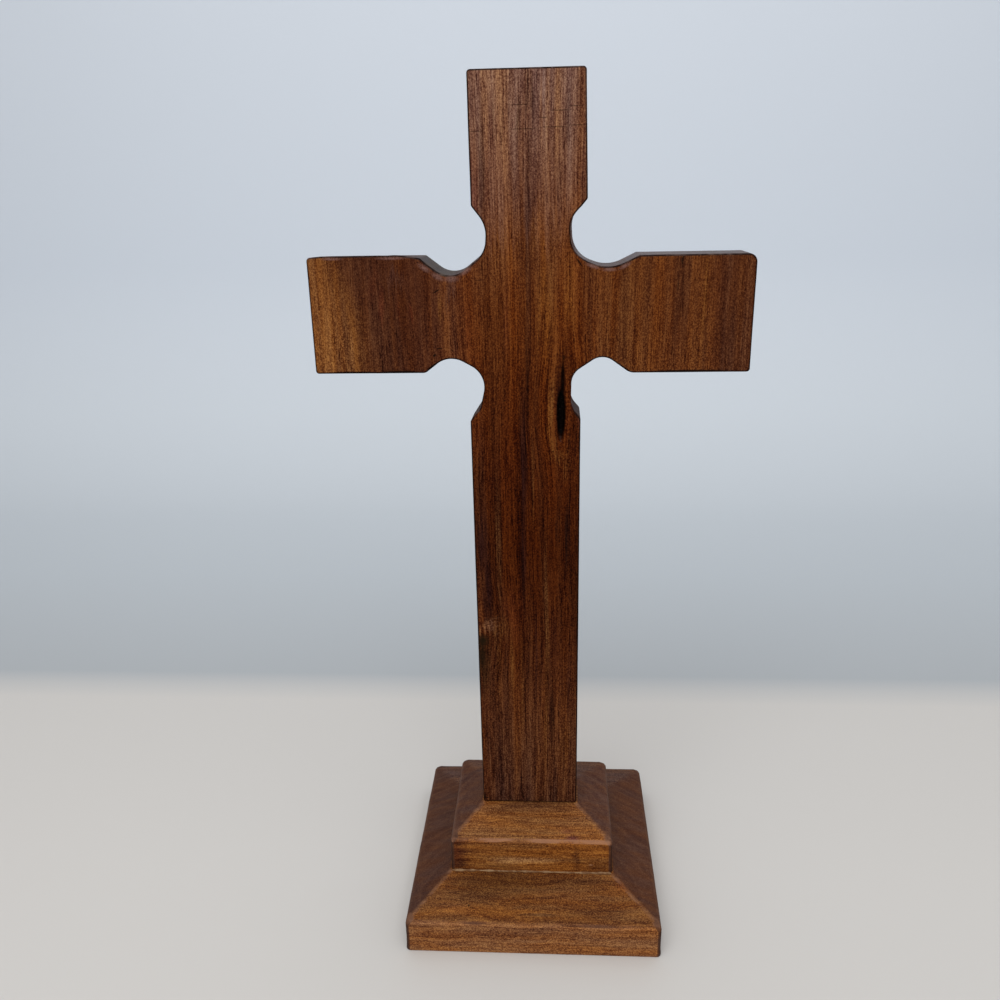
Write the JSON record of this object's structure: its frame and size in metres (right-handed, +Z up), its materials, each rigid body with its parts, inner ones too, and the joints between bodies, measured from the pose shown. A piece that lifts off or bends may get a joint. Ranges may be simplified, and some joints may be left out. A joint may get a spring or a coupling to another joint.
{
  "type": "tabletop cross",
  "caption": "Free-standing wooden cross with scooped notches at the inner corners, on a square base of two steps with sloping tops.",
  "frame": {"origin": "on the table, under the middle of the base and of the arms' span", "axes": "+Z up along the shaft, +X to the viewer's right along the arms, +Y away from the viewer, through the board's thickness"},
  "size_m": [0.1496, 0.0984, 0.312],
  "materials": {
    "cross_wood": "oiled hardwood, reddish brown, satin, grain upright",
    "base_wood": "oiled hardwood, golden brown, satin, grain from left to right",
    "screw_steel": "plain bright steel"
  },
  "bodies": {
    "root": {"cross": "cross_wood", "upper_step": "base_wood", "lower_step": "base_wood", "foot_screw": "screw_steel", "step_screw_left": "screw_steel", "step_screw_right": "screw_steel"}
  },
  "joints": []
}
